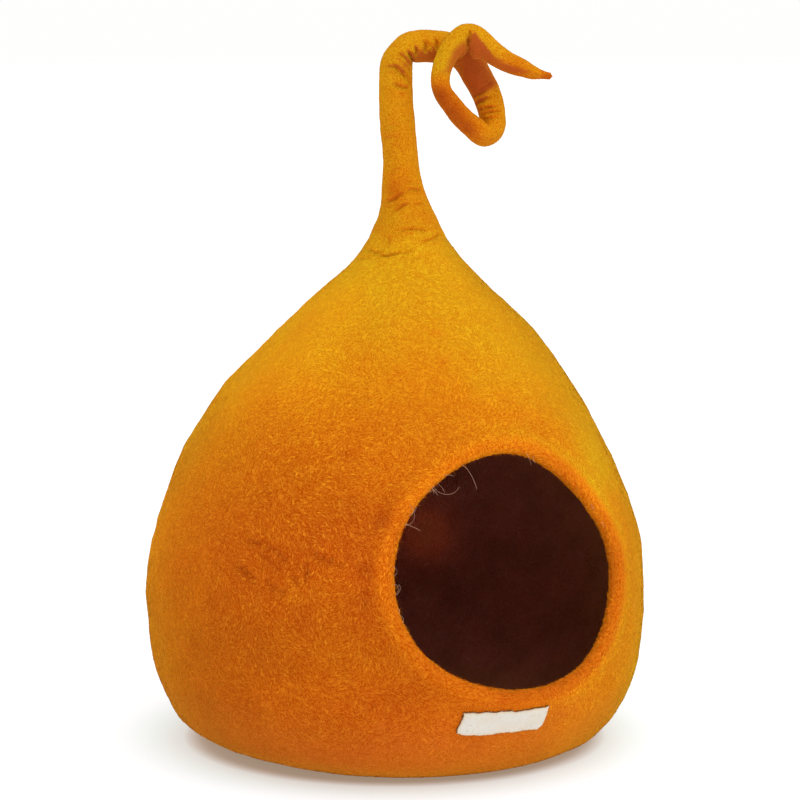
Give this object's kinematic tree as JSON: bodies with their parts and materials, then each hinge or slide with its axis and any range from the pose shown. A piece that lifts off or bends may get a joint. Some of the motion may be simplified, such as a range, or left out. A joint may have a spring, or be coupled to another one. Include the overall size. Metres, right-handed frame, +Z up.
{
  "type": "felt cat cave",
  "caption": "Fig-shaped felted wool pet cave with a round entrance, a flat base, a curled tail drawn out of its neck and a small sewn label.",
  "frame": {"origin": "centre of the bounding box's bottom, on the surface that the flat base stands on", "axes": "+Z up, the tail's way; the entrance faces -Y; the tail's curl runs towards +X and a little towards -Y"},
  "size_m": [0.4242, 0.4231, 0.6015],
  "materials": {
    "wool_felt": "hand-felted wool, matte with short fibres",
    "label_cloth": "woven cotton tape, matte"
  },
  "bodies": {
    "root": {"felt_cave": "wool_felt", "sewn_label": "label_cloth"}
  },
  "joints": []
}
